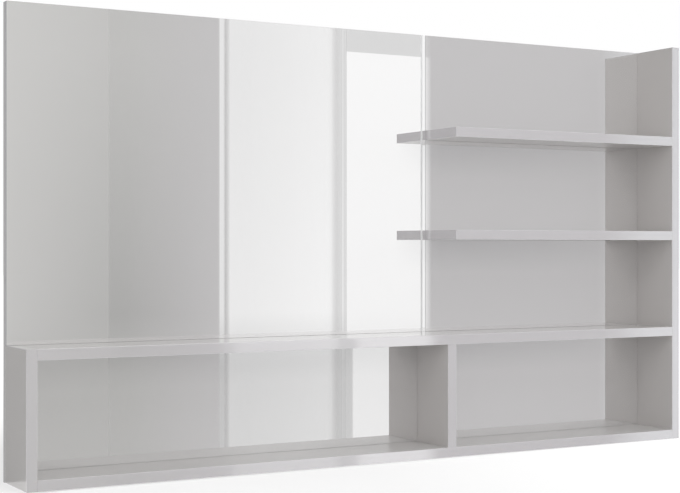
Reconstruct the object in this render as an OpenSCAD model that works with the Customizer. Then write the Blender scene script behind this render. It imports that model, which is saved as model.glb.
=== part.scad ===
/*
Wall-hung bathroom mirror with shelves.

A full back board carries everything. Two compartments run along the bottom, a tall side
panel stands at the right, and two shelves reach from it to the left, where their ends
are free. Every bay has its own mirror pane, taped to the back board, so that the boards
pass between the panes and are screwed to the back board from behind.

Frame: X to the right, Y towards the wall, Z up. The origin is the middle of the rear
face, which lies on the wall. All sizes are in millimetres.
*/

/* [Overall size] */
// Width over the two outer sides
unit_w = 1200; // [1050:10:1500]
// Height of the back board and of the right side panel
unit_h = 700; // [660:10:900]
// Depth from the wall to the front edges
unit_d = 110; // [100:1:160]

/* [Boards] */
// Thickness of the shelves, the sides and the divider
board_t = 16; // [15:0.5:19]
// Thickness of the back board
back_t = 10; // [9.5:0.5:16]
// Thickness of the edge strips
edging_t = 1; // [0.8:0.1:2]
// Radius of the outer arrises of the edge strips
arris_r = 0.6; // [0.2:0.1:0.8]

/* [Layout] */
// Clear width of the left compartment
left_bay_w = 688; // [450:1:760]
// Clear height of the two compartments
compartment_h = 168; // [150:1:185]
// Clear height between the middle board and the lower shelf
low_bay_h = 155; // [130:0.5:165]
// Clear height between the lower shelf and the upper shelf
middle_bay_h = 152.5; // [130:0.5:165]

/* [Mirror panes] */
// Thickness of the glass
glass_t = 5; // [4:0.5:6]
// Gap between a pane and what stands beside it
pane_gap = 0.1; // [0.1:0.1:1.5]
// Width of the ground arris round each pane
glass_arris = 0.3; // [0.2:0.1:1]
// Width of the bevel along the right edge of the large pane
bevel_w = 7; // [3:0.5:15]
// Depth of that bevel at the edge
bevel_drop = 1; // [0.6:0.1:2]
// Thickness of the foam tape behind the glass
tape_t = 2; // [1:0.5:3]
// Width of a strip of tape
tape_w = 25; // [15:1:40]
// How far the tape stays back from the edges of a pane
tape_inset = 15; // [8:1:30]
// Greatest distance between two strips of tape, middle to middle
tape_pitch = 180; // [120:10:300]

/* [Cam joints] */
// Diameter of a cam housing
cam_d = 15; // [12:0.5:15]
// Height of a cam housing
cam_h = 12.5; // [12:0.1:13]
// From the end of a board to the middle of its cam
cam_reach = 34; // [24:0.5:40]
// Diameter of the bolt's head and collar
bolt_head_d = 7; // [6:0.1:7.4]
// Diameter of the bolt's neck
bolt_neck_d = 5; // [4:0.1:5.4]
// Diameter of the bolt's thread
bolt_thread_d = 5; // [4:0.1:6]
// Length of the bolt's thread
bolt_thread_l = 11; // [8:0.5:11]
// Diameter of the cap over a cam
cap_d = 17; // [16:0.5:20]
// Thickness of the cap's rim
cap_t = 0.8; // [0.5:0.1:1.2]

/* [Dowels] */
// Diameter of a dowel
dowel_d = 8; // [6:0.5:8]
// Length of a dowel
dowel_l = 30; // [25:1:35]
// How far a dowel goes into the face of a board
dowel_in_face = 12; // [9:0.5:12]
// Distance of a dowel from its cam
dowel_pitch = 32; // [24:1:34]
// Radial clearance of cams, bolts and dowels in their bores
bore_clear = 0.1; // [0.05:0.05:0.3]

/* [Back screws] */
// Diameter of the shank
screw_d = 4; // [3:0.5:5]
// Length over the head
screw_l = 45; // [30:1:50]
// Diameter of the countersunk head
screw_head_d = 8; // [7:0.5:10]
// Distance of the outer screws from the ends of a bay
screw_inset = 60; // [45:1:70]
// Number of screws along the left compartment, in each of its boards
left_bay_screws = 3; // [2:1:5]
// Number of screws along the right bays, in each of their boards
right_bay_screws = 2; // [2:1:4]

/* [Hangers] */
// Distance of a keyhole from the side of the unit
hanger_inset = 100; // [70:1:200]
// Distance of a keyhole's round entry from the top
hanger_drop = 60; // [45:1:110]
// Width of a hanger plate
hanger_w = 56; // [50:1:80]
// Height of a hanger plate
hanger_h = 46; // [40:1:60]
// Thickness of a hanger plate
hanger_t = 2; // [1.5:0.1:3]
// Diameter of the round entry for a screw head
entry_d = 11; // [9:0.5:12]
// Width of the slot that holds the screw
slot_w = 5.5; // [4:0.1:6.5]
// Travel from the entry up to the seat
slot_travel = 13; // [10:0.5:14]
// Depth of the pocket behind a plate
pocket_depth = 5.5; // [4:0.1:6]
// Diameter of the screws in the plates
plate_screw_d = 3.5; // [3:0.1:4]
// Length of the screws in the plates
plate_screw_l = 8.5; // [7:0.5:9]

/* [Hidden] */
$fn = 48;

// How far a cut runs past the face that it opens
over = 0.5;

// Colours
board_grey = [0.73, 0.72, 0.72];
edging_grey = [0.8, 0.79, 0.79];
mirror_silver = [0.87, 0.89, 0.89];
tape_white = [0.92, 0.92, 0.9];
cap_grey = [0.62, 0.62, 0.62];
zinc = [0.7, 0.71, 0.72];
beech = [0.8, 0.66, 0.48];

// Outer faces
left = -unit_w / 2;
right = unit_w / 2;
foot = -unit_h / 2;
top = unit_h / 2;
front = -unit_d;

// Layers from the wall forwards
back_face = -back_t;
glass_back = back_face - tape_t;
glass_face = glass_back - glass_t;
core_front = front + edging_t;
board_depth = back_face - core_front;

// Heights
bottom_top = foot + board_t;
middle_foot = bottom_top + compartment_h;
middle_top = middle_foot + board_t;
lower_shelf_foot = middle_top + low_bay_h;
lower_shelf_top = lower_shelf_foot + board_t;
upper_shelf_foot = lower_shelf_top + middle_bay_h;
upper_shelf_top = upper_shelf_foot + board_t;

// Stations across
left_inner = left + board_t;
right_inner = right - board_t;
divider_left = left_inner + left_bay_w;
divider_right = divider_left + board_t;

// The free ends of the shelves stand over the right face of the divider
shelf_left = divider_right;

// Mirror panes as [x from, x to, z from, z to]
right_pane_left = shelf_left - pane_gap;
right_pane_right = right_inner - pane_gap;
main_pane = [left, right_pane_left - pane_gap, middle_top + pane_gap, top];
top_bay_pane = [right_pane_left, right_pane_right, upper_shelf_top + pane_gap, top];
middle_bay_pane = [
    right_pane_left,
    right_pane_right,
    lower_shelf_top + pane_gap,
    upper_shelf_foot - pane_gap,
];
low_bay_pane = [
    right_pane_left,
    right_pane_right,
    middle_top + pane_gap,
    lower_shelf_foot - pane_gap,
];
compartment_pane_foot = bottom_top + pane_gap;
compartment_pane_top = middle_foot - pane_gap;
left_compartment_pane = [
    left_inner + pane_gap,
    divider_left - pane_gap,
    compartment_pane_foot,
    compartment_pane_top,
];
right_compartment_pane = [
    divider_right + pane_gap,
    right_pane_right,
    compartment_pane_foot,
    compartment_pane_top,
];
all_panes = [
    main_pane,
    top_bay_pane,
    middle_bay_pane,
    low_bay_pane,
    left_compartment_pane,
    right_compartment_pane,
];

// Cam joints as [x, z, turn]. The point is in the face that a board's end meets, halfway
// through that board. The turn brings local +X into the board from its end, and local +Z
// out of the side of the board where the cam is let in.
joint_y = (back_face + front) / 2;
board_goes_right_cam_below = [180, 0, 0];
board_goes_left_cam_below = [0, 180, 0];
board_goes_left_cam_above = [0, 0, 180];
board_goes_up_cam_right = [180, -90, 0];
board_goes_down_cam_right = [0, 90, 0];
half_t = board_t / 2;
bottom_left_joint = [left_inner, foot + half_t, board_goes_right_cam_below];
bottom_right_joint = [right_inner, foot + half_t, board_goes_left_cam_below];
middle_left_joint = [left_inner, middle_foot + half_t, board_goes_right_cam_below];
middle_right_joint = [right_inner, middle_foot + half_t, board_goes_left_cam_below];
lower_shelf_joint = [right_inner, lower_shelf_foot + half_t, board_goes_left_cam_above];
upper_shelf_joint = [right_inner, upper_shelf_foot + half_t, board_goes_left_cam_above];
divider_foot_joint = [divider_left + half_t, bottom_top, board_goes_up_cam_right];
divider_head_joint = [divider_left + half_t, middle_foot, board_goes_down_cam_right];
all_joints = [
    bottom_left_joint,
    bottom_right_joint,
    middle_left_joint,
    middle_right_joint,
    lower_shelf_joint,
    upper_shelf_joint,
    divider_foot_joint,
    divider_head_joint,
];

// Details of a cam joint
bolt_collar_l = 3;
bolt_head_l = 5;
bolt_chamfer = 0.5;
cam_wall = 1.7;
cam_hollow_r = cam_d / 2 - cam_wall;
bolt_head_from = cam_reach - cam_hollow_r;
cam_driver_l = 7;
cam_driver_w = 1;
cam_driver_depth = 1.6;
cap_plug_d = 4.5;
cap_plug_l = 1.8;
cap_edge = 0.4;
dowel_chamfer = 1;
bore_play = 0.5;

// Details of the countersunk screws, whose heads have a right angle
screw_clear = 0.05;
screw_sink = 0.1;
cross_w = 0.9;
cross_depth = 1.2;
cross_share = 0.6;

// Places of the back screws as [x, z]
function spread(from, to, count) = [for (i = [0 : count - 1]) from + (to - from) * i / (count - 1)];
left_bay_xs = spread(left_inner + screw_inset, divider_left - screw_inset, left_bay_screws);
right_bay_xs = spread(divider_right + screw_inset, right_inner - screw_inset, right_bay_screws);
compartment_zs = spread(bottom_top + screw_inset, middle_foot - screw_inset, 2);
right_panel_zs = [
    (bottom_top + middle_foot) / 2,
    (middle_top + lower_shelf_foot) / 2,
    (lower_shelf_top + upper_shelf_foot) / 2,
    (upper_shelf_top + top) / 2,
];
bottom_board_screws = [for (x = concat(left_bay_xs, right_bay_xs)) [x, foot + half_t]];
middle_board_screws = [for (x = concat(left_bay_xs, right_bay_xs)) [x, middle_foot + half_t]];
lower_shelf_screws = [for (x = right_bay_xs) [x, lower_shelf_foot + half_t]];
upper_shelf_screws = [for (x = right_bay_xs) [x, upper_shelf_foot + half_t]];
left_panel_screws = [for (z = compartment_zs) [left + half_t, z]];
divider_screws = [for (z = compartment_zs) [divider_left + half_t, z]];
right_panel_screws = [for (z = right_panel_zs) [right_inner + half_t, z]];
all_back_screws = concat(
    bottom_board_screws,
    middle_board_screws,
    lower_shelf_screws,
    upper_shelf_screws,
    left_panel_screws,
    divider_screws,
    right_panel_screws
);

// Details of the hanger plates. A plate's own point is the middle of its round entry.
entry_z = top - hanger_drop;
plate_below = 16;
plate_above = hanger_h - plate_below;
plate_corner_r = 3;
plate_clear = 0.1;
plate_screw_edge = 7;
plate_screw_head_d = 6.6;
// Room for a wall screw's head beside it in the pocket
pocket_room = 1.5;
pocket_w = entry_d + 2 * pocket_room;

// A block between two opposite corners
module block(low, high) {
    translate(low) cube(high - low);
}

// A cylinder along +X
module rod(d, from, to) {
    translate([from, 0, 0]) rotate([0, 90, 0]) cylinder(d = d, h = to - from);
}

// A rectangle with round corners
module rounded(low, high, r) {
    translate(low + [r, 0]) square(high - low - [2 * r, 0]);
    translate(low + [0, r]) square(high - low - [0, 2 * r]);
    for (x = [low.x + r, high.x - r], y = [low.y + r, high.y - r]) translate([x, y]) circle(r);
}

// A round-ended opening that runs up from the origin
module upright_slot(width, travel) {
    circle(d = width);
    translate([-width / 2, 0]) square([width, travel]);
    translate([0, travel]) circle(d = width);
}

// Core of a board, from the back board to its front edge strip
module board_core(x_from, x_to, z_from, z_to) {
    block([x_from, core_front, z_from], [x_to, back_face, z_to]);
}

// An edge strip along +Z, its width along +X, with the glued side at y = 0 and the outer side at y < 0
module edge_strip(width, length) {
    linear_extrude(length) strip_profile(width);
}

module strip_profile(width) {
    difference() {
        translate([0, -edging_t]) square([width, edging_t]);
        translate([0, -edging_t]) arris_waste();
        translate([width, -edging_t]) mirror([1, 0]) arris_waste();
    }
}

// What rounding takes off a square corner at the origin
module arris_waste() {
    difference() {
        square(arris_r);
        translate([arris_r, arris_r]) circle(arris_r);
    }
}

// Front strip of an upright board
module upright_front_strip(x_from, z_from, z_to) {
    translate([x_from, core_front, z_from]) edge_strip(board_t, z_to - z_from);
}

// Front strip of a level board
module level_front_strip(x_from, x_to, z_from) {
    translate([x_from, core_front, z_from + board_t])
        rotate([0, 90, 0]) edge_strip(board_t, x_to - x_from);
}

// Front strip of a shelf, which is round at its free left end as well
module shelf_front_strip(z_from) {
    difference() {
        level_front_strip(shelf_left, right_inner, z_from);
        translate([shelf_left, front, z_from]) linear_extrude(board_t) arris_waste();
    }
}

// Strip on the free left end of a shelf
module shelf_end_strip(z_from) {
    translate([shelf_left + edging_t, core_front, z_from])
        rotate([0, -90, -90]) edge_strip(board_t, board_depth);
}

// Strip on the upper end of an upright board
module top_strip(x_from, z_to) {
    translate([x_from, core_front, z_to - edging_t]) rotate([-90, 0, 0]) edge_strip(board_t, board_depth);
}

// Strip on the lower end of an upright board
module foot_strip(x_from, z_from) {
    translate([x_from + board_t, core_front, z_from + edging_t])
        rotate([90, 0, 180]) edge_strip(board_t, board_depth);
}

// Places its children at a cam joint
module at_joint(joint) {
    translate([joint[0], joint_y, joint[1]]) rotate(joint[2]) children();
}

// What is bored into the face that the end of a board meets
module face_bores(joints) {
    for (joint = joints) at_joint(joint) {
        rod(bolt_thread_d + 2 * bore_clear, -bolt_thread_l - bore_play, over);
        for (y = [-dowel_pitch, dowel_pitch])
            translate([0, y, 0]) rod(dowel_d + 2 * bore_clear, -dowel_in_face - bore_play, over);
    }
}

// What is bored into the end of a board, with the bore for its cam
module end_bores(joints) {
    for (joint = joints) at_joint(joint) {
        rod(bolt_head_d + 2 * bore_clear, -over, cam_reach);
        translate([cam_reach, 0, half_t - cam_h - bore_clear])
            cylinder(d = cam_d + 2 * bore_clear, h = cam_h + bore_clear + over);
        for (y = [-dowel_pitch, dowel_pitch])
            translate([0, y, 0]) rod(dowel_d + 2 * bore_clear, -over, dowel_l - dowel_in_face + bore_play);
    }
}

// A countersunk screw along +Z, the top of its head at z = 0
module countersunk_screw(d, head_d, length) {
    head_h = (head_d - d) / 2;
    difference() {
        rotate_extrude() polygon([
            [0, 0],
            [head_d / 2, 0],
            [d / 2, head_h],
            [d / 2, length - d],
            [0, length],
        ]);
        for (turn = [0, 90]) rotate(turn)
            block(
                [-head_d * cross_share / 2, -cross_w / 2, -over],
                [head_d * cross_share / 2, cross_w / 2, cross_depth]
            );
    }
}

// The hole that such a screw sits in, with its countersink
module countersunk_hole(d, head_d, length) {
    head_h = (head_d - d) / 2;
    rotate_extrude() polygon([
        [0, -over],
        [head_d / 2 + screw_clear, -over],
        [head_d / 2 + screw_clear, screw_sink],
        [d / 2 + screw_clear, screw_sink + head_h],
        [d / 2 + screw_clear, screw_sink + length + bore_play],
        [0, screw_sink + length + bore_play],
    ]);
}

// Places its children at points [x, z] of the rear face, with local Y up and local +Z into the wood
module from_rear(places) {
    for (place = places) translate([place[0], 0, place[1]]) rotate([90, 0, 0]) children();
}

module back_screw_holes(places) {
    from_rear(places) countersunk_hole(screw_d, screw_head_d, screw_l);
}

// Both hangers, seen from the front, and the screws of a plate from its own point
hanger_places = [for (side = [-1, 1]) [side * (right - hanger_inset), entry_z]];
plate_screw_places = [
    for (
        x = [plate_screw_edge - hanger_w / 2, hanger_w / 2 - plate_screw_edge],
        y = [plate_screw_edge - plate_below, plate_above - plate_screw_edge]
    )
    [x, y]
];

module plate_outline(clear = 0) {
    rounded(
        [-hanger_w / 2 - clear, -plate_below - clear],
        [hanger_w / 2 + clear, plate_above + clear],
        plate_corner_r + clear
    );
}

module keyhole() {
    circle(d = entry_d);
    upright_slot(slot_w, slot_travel);
}

module hanger_recess() {
    translate([0, 0, -over]) linear_extrude(over + hanger_t) plate_outline(plate_clear);
    linear_extrude(hanger_t + pocket_depth) upright_slot(pocket_w, slot_travel);
    for (place = plate_screw_places) translate(place)
        countersunk_hole(plate_screw_d, plate_screw_head_d, plate_screw_l);
}

// A pane with its arrises ground all round. The right edge can have a bevel instead.
module pane(place, right_w = glass_arris, right_drop = glass_arris) {
    color(mirror_silver) intersection() {
        translate([0, 0, place[2]]) linear_extrude(place[3] - place[2]) polygon([
            [place[0], glass_back],
            [place[1], glass_back],
            [place[1], glass_face + right_drop],
            [place[1] - right_w, glass_face],
            [place[0] + glass_arris, glass_face],
            [place[0], glass_face + glass_arris],
        ]);
        translate([place[0], 0, 0]) rotate([90, 0, 90]) linear_extrude(place[1] - place[0]) polygon([
            [glass_back, place[2]],
            [glass_back, place[3]],
            [glass_face + glass_arris, place[3]],
            [glass_face, place[3] - glass_arris],
            [glass_face, place[2] + glass_arris],
            [glass_face + glass_arris, place[2]],
        ]);
    }
}

module back_board() {
    color(board_grey) difference() {
        block([left + edging_t, back_face, foot + edging_t], [right - edging_t, 0, top - edging_t]);
        back_screw_holes(all_back_screws);
        from_rear(hanger_places) hanger_recess();
    }
}

module bottom_board() {
    color(board_grey) difference() {
        board_core(left_inner, right_inner, foot, bottom_top);
        end_bores([bottom_left_joint, bottom_right_joint]);
        face_bores([divider_foot_joint]);
        back_screw_holes(bottom_board_screws);
    }
}

module middle_board() {
    color(board_grey) difference() {
        board_core(left_inner, right_inner, middle_foot, middle_top);
        end_bores([middle_left_joint, middle_right_joint]);
        face_bores([divider_head_joint]);
        back_screw_holes(middle_board_screws);
    }
}

module left_side_panel() {
    color(board_grey) difference() {
        board_core(left, left_inner, foot + edging_t, middle_top - edging_t);
        face_bores([bottom_left_joint, middle_left_joint]);
        back_screw_holes(left_panel_screws);
    }
}

module divider() {
    color(board_grey) difference() {
        board_core(divider_left, divider_right, bottom_top, middle_foot);
        end_bores([divider_foot_joint, divider_head_joint]);
        back_screw_holes(divider_screws);
    }
}

module right_side_panel() {
    color(board_grey) difference() {
        board_core(right_inner, right, foot + edging_t, top - edging_t);
        face_bores([bottom_right_joint, middle_right_joint, lower_shelf_joint, upper_shelf_joint]);
        back_screw_holes(right_panel_screws);
    }
}

module lower_shelf() {
    color(board_grey) difference() {
        board_core(shelf_left + edging_t, right_inner, lower_shelf_foot, lower_shelf_top);
        end_bores([lower_shelf_joint]);
        back_screw_holes(lower_shelf_screws);
    }
}

module upper_shelf() {
    color(board_grey) difference() {
        board_core(shelf_left + edging_t, right_inner, upper_shelf_foot, upper_shelf_top);
        end_bores([upper_shelf_joint]);
        back_screw_holes(upper_shelf_screws);
    }
}

module main_mirror() {
    pane(main_pane, bevel_w, bevel_drop);
}

module top_bay_mirror() {
    pane(top_bay_pane);
}

module middle_bay_mirror() {
    pane(middle_bay_pane);
}

module low_bay_mirror() {
    pane(low_bay_pane);
}

module left_compartment_mirror() {
    pane(left_compartment_pane);
}

module right_compartment_mirror() {
    pane(right_compartment_pane);
}

// Upright strips of tape behind every pane
module mirror_tape() {
    color(tape_white) for (place = all_panes) {
        first = place[0] + tape_inset + tape_w / 2;
        last = place[1] - tape_inset - tape_w / 2;
        count = 1 + ceil((last - first) / tape_pitch);
        for (x = spread(first, last, count))
            block(
                [x - tape_w / 2, glass_back, place[2] + tape_inset],
                [x + tape_w / 2, back_face, place[3] - tape_inset]
            );
    }
}

module back_left_edging() {
    color(edging_grey)
        translate([left + edging_t, 0, foot]) rotate([0, 0, -90]) edge_strip(back_t, unit_h);
}

module back_right_edging() {
    color(edging_grey)
        translate([right - edging_t, back_face, foot]) rotate([0, 0, 90]) edge_strip(back_t, unit_h);
}

module back_top_edging() {
    color(edging_grey)
        translate([left + edging_t, 0, top - edging_t])
        rotate([-90, 0, 0]) rotate([0, 90, 0]) edge_strip(back_t, unit_w - 2 * edging_t);
}

module back_bottom_edging() {
    color(edging_grey)
        translate([left + edging_t, back_face, foot + edging_t])
        rotate([90, 0, 0]) rotate([0, 90, 0]) edge_strip(back_t, unit_w - 2 * edging_t);
}

module bottom_board_edging() {
    color(edging_grey) level_front_strip(left_inner, right_inner, foot);
}

module middle_board_edging() {
    color(edging_grey) level_front_strip(left_inner, right_inner, middle_foot);
}

module left_panel_front_edging() {
    color(edging_grey) upright_front_strip(left, foot, middle_top);
}

module left_panel_top_edging() {
    color(edging_grey) top_strip(left, middle_top);
}

module left_panel_foot_edging() {
    color(edging_grey) foot_strip(left, foot);
}

module divider_edging() {
    color(edging_grey) upright_front_strip(divider_left, bottom_top, middle_foot);
}

module right_panel_front_edging() {
    color(edging_grey) upright_front_strip(right_inner, foot, top);
}

module right_panel_top_edging() {
    color(edging_grey) top_strip(right_inner, top);
}

module right_panel_foot_edging() {
    color(edging_grey) foot_strip(right_inner, foot);
}

module lower_shelf_front_edging() {
    color(edging_grey) shelf_front_strip(lower_shelf_foot);
}

module lower_shelf_end_edging() {
    color(edging_grey) shelf_end_strip(lower_shelf_foot);
}

module upper_shelf_front_edging() {
    color(edging_grey) shelf_front_strip(upper_shelf_foot);
}

module upper_shelf_end_edging() {
    color(edging_grey) shelf_end_strip(upper_shelf_foot);
}

// Each housing is hollow on the side of its bolt: a room for the head, and a slot in the
// wall for the neck, which both run half-way round so that the housing can turn and pull
module cam_housings() {
    color(zinc) for (joint = all_joints) at_joint(joint) translate([cam_reach, 0, 0]) difference() {
        translate([0, 0, half_t - cam_h]) cylinder(d = cam_d, h = cam_h);
        rotate(90) rotate_extrude(angle = 180)
            translate([0, -bolt_head_d / 2 - bore_clear])
            square([cam_hollow_r, bolt_head_d + 2 * bore_clear]);
        rotate(90) rotate_extrude(angle = 180)
            translate([cam_hollow_r - over, -bolt_neck_d / 2 - bore_clear])
            square([cam_wall + 2 * over, bolt_neck_d + 2 * bore_clear]);
        translate([0, 0, half_t - cap_plug_l - bore_clear])
            cylinder(d = cap_plug_d + 2 * bore_clear, h = cap_plug_l + bore_clear + over);
        for (turn = [45, 135]) rotate(turn)
            block(
                [-cam_driver_l / 2, -cam_driver_w / 2, half_t - cam_driver_depth],
                [cam_driver_l / 2, cam_driver_w / 2, half_t + over]
            );
    }
}

// Thread in the face bore, collar against the face's plane, neck, and head in the housing
module cam_bolts() {
    collar_r = bolt_head_d / 2;
    thread_r = bolt_thread_d / 2;
    head_to = bolt_head_from + bolt_head_l;
    color(zinc) for (joint = all_joints) at_joint(joint) rotate([0, 90, 0]) rotate_extrude() polygon([
        [0, -bolt_thread_l],
        [thread_r - bolt_chamfer, -bolt_thread_l],
        [thread_r, bolt_chamfer - bolt_thread_l],
        [thread_r, 0],
        [collar_r, 0],
        [collar_r, bolt_collar_l],
        [bolt_neck_d / 2, bolt_collar_l],
        [bolt_neck_d / 2, bolt_head_from],
        [collar_r, bolt_head_from],
        [collar_r, head_to - bolt_chamfer],
        [collar_r - bolt_chamfer, head_to],
        [0, head_to],
    ]);
}

// A rim that lies on the board, and a plug in the housing
module cam_caps() {
    color(cap_grey) for (joint = all_joints) at_joint(joint) translate([cam_reach, 0, half_t]) {
        cylinder(d1 = cap_d, d2 = cap_d - 2 * cap_edge, h = cap_t);
        translate([0, 0, -cap_plug_l]) cylinder(d = cap_plug_d, h = cap_plug_l + cap_t / 2);
    }
}

module dowels() {
    r = dowel_d / 2;
    in_end = dowel_l - dowel_in_face;
    color(beech) for (joint = all_joints, y = [-dowel_pitch, dowel_pitch])
        at_joint(joint) translate([0, y, 0]) rotate([0, 90, 0]) rotate_extrude() polygon([
            [0, -dowel_in_face],
            [r - dowel_chamfer, -dowel_in_face],
            [r, dowel_chamfer - dowel_in_face],
            [r, in_end - dowel_chamfer],
            [r - dowel_chamfer, in_end],
            [0, in_end],
        ]);
}

module back_screws() {
    color(zinc) from_rear(all_back_screws) translate([0, 0, screw_sink])
        countersunk_screw(screw_d, screw_head_d, screw_l);
}

module hanger_plates() {
    color(zinc) from_rear(hanger_places) difference() {
        linear_extrude(hanger_t) plate_outline();
        translate([0, 0, -over]) linear_extrude(hanger_t + 2 * over) keyhole();
        for (place = plate_screw_places) translate(place)
            countersunk_hole(plate_screw_d, plate_screw_head_d, plate_screw_l);
    }
}

module hanger_screws() {
    color(zinc) from_rear(hanger_places)
        for (place = plate_screw_places) translate([place.x, place.y, screw_sink])
            countersunk_screw(plate_screw_d, plate_screw_head_d, plate_screw_l);
}

back_board();
bottom_board();
middle_board();
left_side_panel();
divider();
right_side_panel();
lower_shelf();
upper_shelf();
main_mirror();
top_bay_mirror();
middle_bay_mirror();
low_bay_mirror();
left_compartment_mirror();
right_compartment_mirror();
mirror_tape();
back_left_edging();
back_right_edging();
back_top_edging();
back_bottom_edging();
bottom_board_edging();
middle_board_edging();
left_panel_front_edging();
left_panel_top_edging();
left_panel_foot_edging();
divider_edging();
right_panel_front_edging();
right_panel_top_edging();
right_panel_foot_edging();
lower_shelf_front_edging();
lower_shelf_end_edging();
upper_shelf_front_edging();
upper_shelf_end_edging();
cam_housings();
cam_bolts();
cam_caps();
dowels();
back_screws();
hanger_plates();
hanger_screws();
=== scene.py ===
# %% [markdown]
# # A bathroom mirror with shelves
#
# The real object hangs on a wall. A full back board carries it, two open compartments run along
# the bottom, and two shelves reach to the left from a tall side panel. Every bay has its own
# mirror pane. The boards have a light grey high-gloss lacquer.
#
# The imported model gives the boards, strips and fittings at their real size. This lesson dresses
# it: finishes for the boards, panes with ground edges and a bevel, screws and dowels made by
# Geometry Nodes, and a studio that the mirrors can reflect.

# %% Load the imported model
import math
import bmesh
import bpy
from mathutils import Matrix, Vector


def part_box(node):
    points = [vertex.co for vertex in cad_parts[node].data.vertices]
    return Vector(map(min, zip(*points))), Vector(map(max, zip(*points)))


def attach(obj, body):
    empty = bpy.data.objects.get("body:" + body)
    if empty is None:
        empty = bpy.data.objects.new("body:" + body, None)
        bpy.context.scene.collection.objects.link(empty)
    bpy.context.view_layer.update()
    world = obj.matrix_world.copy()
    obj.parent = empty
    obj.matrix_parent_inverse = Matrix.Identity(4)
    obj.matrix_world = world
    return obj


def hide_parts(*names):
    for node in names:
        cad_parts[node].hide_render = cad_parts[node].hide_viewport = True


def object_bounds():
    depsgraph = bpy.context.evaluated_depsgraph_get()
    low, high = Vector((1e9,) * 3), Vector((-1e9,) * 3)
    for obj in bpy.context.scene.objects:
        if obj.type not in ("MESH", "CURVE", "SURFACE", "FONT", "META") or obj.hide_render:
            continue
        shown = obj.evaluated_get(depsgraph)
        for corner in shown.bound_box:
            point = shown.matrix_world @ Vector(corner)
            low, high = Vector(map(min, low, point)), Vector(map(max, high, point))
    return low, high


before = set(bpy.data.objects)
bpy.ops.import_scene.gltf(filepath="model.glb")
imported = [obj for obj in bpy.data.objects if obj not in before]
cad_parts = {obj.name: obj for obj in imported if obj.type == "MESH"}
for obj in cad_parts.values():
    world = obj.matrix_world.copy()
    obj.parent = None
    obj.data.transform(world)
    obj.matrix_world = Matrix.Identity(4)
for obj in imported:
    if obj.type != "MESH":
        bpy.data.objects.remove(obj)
cad_low, cad_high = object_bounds()
MM = 0.001
print("CAD nodes:", len(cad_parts))
print("CAD box in metres:", [round(v, 4) for v in cad_low], [round(v, 4) for v in cad_high])

# %% [markdown]
# ## The camera
#
# The picture is taken from the left of the object, at about its mid height, with a level camera.
# A level camera keeps all uprights upright. It could be placed by eye, but its place and its turn
# were found by fitting the corners of the boards to the picture, which is exact. So here they are
# plain numbers.

# %% Camera
CAMERA_PLACE = Vector((-1.2255, -2.1089, -0.0063))
CAMERA_TURN = math.radians(29.42)
IMAGE_WIDTH_PX = 680
FOCAL_LENGTH_PX = 1470.5
SENSOR_WIDTH = 36.0

camera_data = bpy.data.cameras.new("camera")
camera_data.sensor_width = SENSOR_WIDTH
camera_data.lens = FOCAL_LENGTH_PX / IMAGE_WIDTH_PX * SENSOR_WIDTH
camera = bpy.data.objects.new("camera", camera_data)
camera.location = CAMERA_PLACE
camera.rotation_euler = (math.pi / 2, 0, -CAMERA_TURN)
bpy.context.scene.collection.objects.link(camera)
bpy.context.scene.camera = camera
bpy.context.scene.view_settings.view_transform = "Standard"
print("lens:", round(camera_data.lens, 2), "mm")

# %% [markdown]
# ## Helpers for node materials
#
# Each finish is a small node tree on Object coordinates, so its pattern has a real size and stays
# on the piece in every view. Two helpers, one that adds a node and one that joins two sockets,
# keep the cells short. Colours are written as screen values from 0 to 255, which are easy to
# compare with a picture, and are turned into light values here.

# %% Colours and new materials
def paint(red, green, blue):
    """Light values of a colour that is given as screen values."""
    def light(value):
        share = value / 255
        return share / 12.92 if share <= 0.04045 else ((share + 0.055) / 1.055) ** 2.4
    return (light(red), light(green), light(blue), 1.0)


def finish(name, **sockets):
    """A new material. Values that are the same all over go on the shader's own sockets."""
    material = bpy.data.materials.new(name)
    material.use_nodes = True
    shader = material.node_tree.nodes["Principled BSDF"]
    for socket, value in sockets.items():
        shader.inputs[socket.replace("_", " ")].default_value = value
    return material, shader


def add(material, kind, **settings):
    """A new node in the material's tree."""
    node = material.node_tree.nodes.new("ShaderNode" + kind)
    for setting, value in settings.items():
        setattr(node, setting, value)
    return node


def join(material, out_socket, in_socket):
    material.node_tree.links.new(out_socket, in_socket)


print("screen value 200 as light:", round(paint(200, 200, 200)[0], 3))

# %% Patterns for materials
def places_on(material):
    """Places on the piece in metres, its Object coordinates."""
    return add(material, "TexCoord").outputs["Object"]


def scaled_places(material, size, stretch=(1, 1, 1)):
    """Places counted in steps of a size, which may be drawn out along an axis."""
    mapping = add(material, "Mapping")
    mapping.inputs["Scale"].default_value = [s / size for s in stretch]
    join(material, places_on(material), mapping.inputs["Vector"])
    return mapping.outputs["Vector"]


def clouds(material, size, detail=3.0, stretch=(1, 1, 1)):
    """A cloudy pattern with blotches of about this size in metres."""
    texture = add(material, "TexNoise")
    texture.inputs["Scale"].default_value = 1.0
    texture.inputs["Detail"].default_value = detail
    join(material, scaled_places(material, size, stretch), texture.inputs["Vector"])
    return texture.outputs[0]


print("pattern that most finishes use:", clouds.__name__)

# %% From patterns to values, colours and bumps
def between(material, factor, low, high, from_min=0.3, from_max=0.7):
    """Spreads a pattern over the values from low to high."""
    spread = add(material, "MapRange")
    for socket, value in (("From Min", from_min), ("From Max", from_max),
                          ("To Min", low), ("To Max", high)):
        spread.inputs[socket].default_value = value
    join(material, factor, spread.inputs["Value"])
    return spread.outputs["Result"]


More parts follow.
